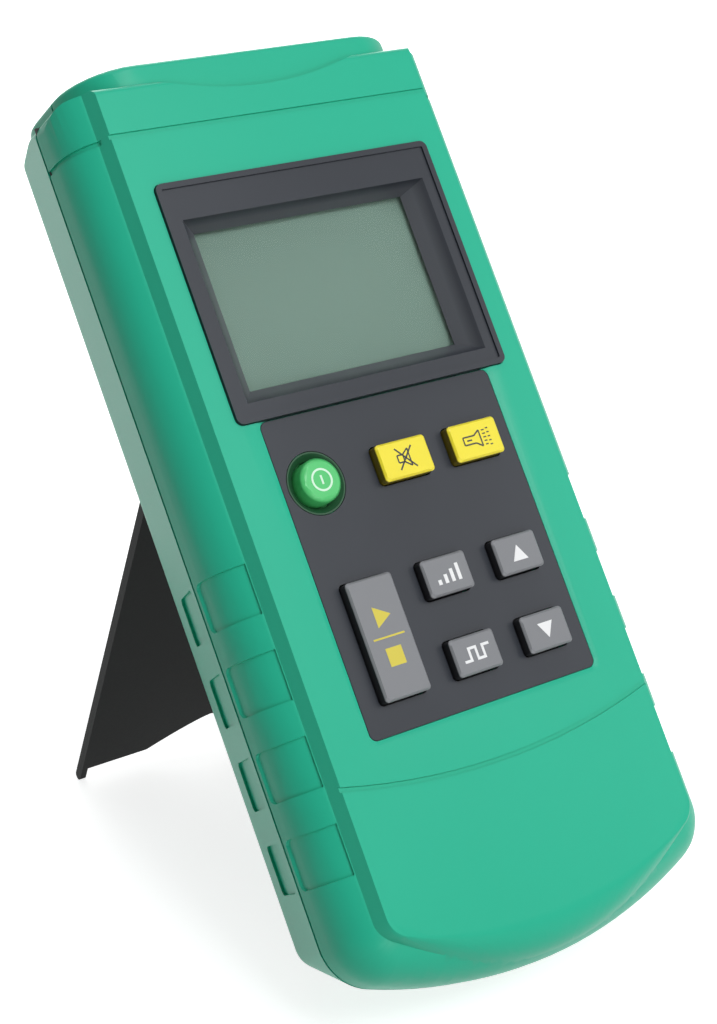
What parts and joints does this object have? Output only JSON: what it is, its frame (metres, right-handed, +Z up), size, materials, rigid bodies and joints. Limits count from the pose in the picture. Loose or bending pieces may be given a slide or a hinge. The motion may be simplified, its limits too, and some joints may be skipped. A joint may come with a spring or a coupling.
{
  "type": "cable locator transmitter",
  "caption": "Handheld cable locator transmitter leaning on its fold-out stand, with a display, a keypad, two lead sockets and a torch.",
  "frame": {"origin": "centre of the bounding box on the floor plane that the lower end and the two stand feet rest on", "axes": "+X to the right seen from the face, +Y towards the back where the stand opens, +Z up"},
  "size_m": [0.089, 0.1371, 0.1695],
  "materials": {
    "green_plastic": "satin moulded plastic",
    "dark_plastic": "semi-gloss moulded plastic",
    "clear_window": "clear window",
    "display_glass": "grey-green display",
    "light_guide": "white diffuser",
    "grey_key_plastic": "satin",
    "yellow_key_plastic": "satin",
    "green_key_plastic": "satin",
    "silicone": "matt",
    "gasket_rubber": "matt",
    "board_laminate": "solder-masked laminate",
    "component_plastic": "moulded component bodies",
    "core_steel": "wound core with tape",
    "steel": "plated",
    "battery_can": "wrapped metal can",
    "wire_insulation": "insulated wire",
    "red_plastic": "insulating moulding",
    "black_plastic": "satin moulded plastic",
    "plated_brass": "plated",
    "clear_lens": "clear lens"
  },
  "bodies": {
    "housing": {"front_shell": "green_plastic", "rear_shell": "green_plastic", "case_gasket": "gasket_rubber", "display_frame": "dark_plastic", "display_window": "clear_window", "lcd_glass": "display_glass", "lcd_backlight": "light_guide", "keypad_plate": "dark_plastic", "power_key_ring": "dark_plastic", "keypad_mat": "silicone", "main_circuit_board": "board_laminate", "board_components": "component_plastic", "output_transformer": "core_steel", "buzzer": "component_plastic", "board_screws": "steel", "battery": "battery_can", "battery_snap": "black_plastic", "battery_leads": "wire_insulation", "battery_door": "green_plastic", "battery_door_screw": "steel", "case_screws": "steel", "screw_plugs": "gasket_rubber", "red_socket_sleeve": "red_plastic", "red_socket_contact": "plated_brass", "black_socket_sleeve": "black_plastic", "black_socket_contact": "plated_brass", "socket_leads": "wire_insulation", "torch_lens": "clear_lens", "torch_led": "clear_lens", "torch_leads": "wire_insulation", "stand_hinge_pin": "steel"},
    "folding_stand": {"stand": "black_plastic"},
    "power_button": {"power_key": "green_key_plastic"},
    "mute_button": {"mute_key": "yellow_key_plastic"},
    "torch_button": {"torch_key": "yellow_key_plastic"},
    "level_button": {"level_key": "grey_key_plastic"},
    "up_button": {"up_key": "grey_key_plastic"},
    "code_button": {"code_key": "grey_key_plastic"},
    "down_button": {"down_key": "grey_key_plastic"},
    "start_stop_button": {"start_stop_key": "grey_key_plastic"}
  },
  "joints": [
    {"name": "power_key_press", "type": "slide", "parent": "housing", "child": "power_button", "axis": [0, 0.8132, -0.582], "range_m": [0, 0.001], "stiffness_N_per_m": 300, "springref_m": -0.001},
    {"name": "mute_key_press", "type": "slide", "parent": "housing", "child": "mute_button", "axis": [0, 0.8132, -0.582], "range_m": [0, 0.001], "stiffness_N_per_m": 300, "springref_m": -0.001},
    {"name": "torch_key_press", "type": "slide", "parent": "housing", "child": "torch_button", "axis": [0, 0.8132, -0.582], "range_m": [0, 0.001], "stiffness_N_per_m": 300, "springref_m": -0.001},
    {"name": "level_key_press", "type": "slide", "parent": "housing", "child": "level_button", "axis": [0, 0.8132, -0.582], "range_m": [0, 0.001], "stiffness_N_per_m": 300, "springref_m": -0.001},
    {"name": "up_key_press", "type": "slide", "parent": "housing", "child": "up_button", "axis": [0, 0.8132, -0.582], "range_m": [0, 0.001], "stiffness_N_per_m": 300, "springref_m": -0.001},
    {"name": "code_key_press", "type": "slide", "parent": "housing", "child": "code_button", "axis": [0, 0.8132, -0.582], "range_m": [0, 0.001], "stiffness_N_per_m": 300, "springref_m": -0.001},
    {"name": "down_key_press", "type": "slide", "parent": "housing", "child": "down_button", "axis": [0, 0.8132, -0.582], "range_m": [0, 0.001], "stiffness_N_per_m": 300, "springref_m": -0.001},
    {"name": "start_stop_key_press", "type": "slide", "parent": "housing", "child": "start_stop_button", "axis": [0, 0.8132, -0.582], "range_m": [0, 0.001], "stiffness_N_per_m": 300, "springref_m": -0.001},
    {"name": "stand_fold", "type": "hinge", "parent": "housing", "child": "folding_stand", "pos_m": [0, 0.02445, 0.08719], "axis": [1, 0, 0], "range_deg": [-59.5, 0]}
  ]
}
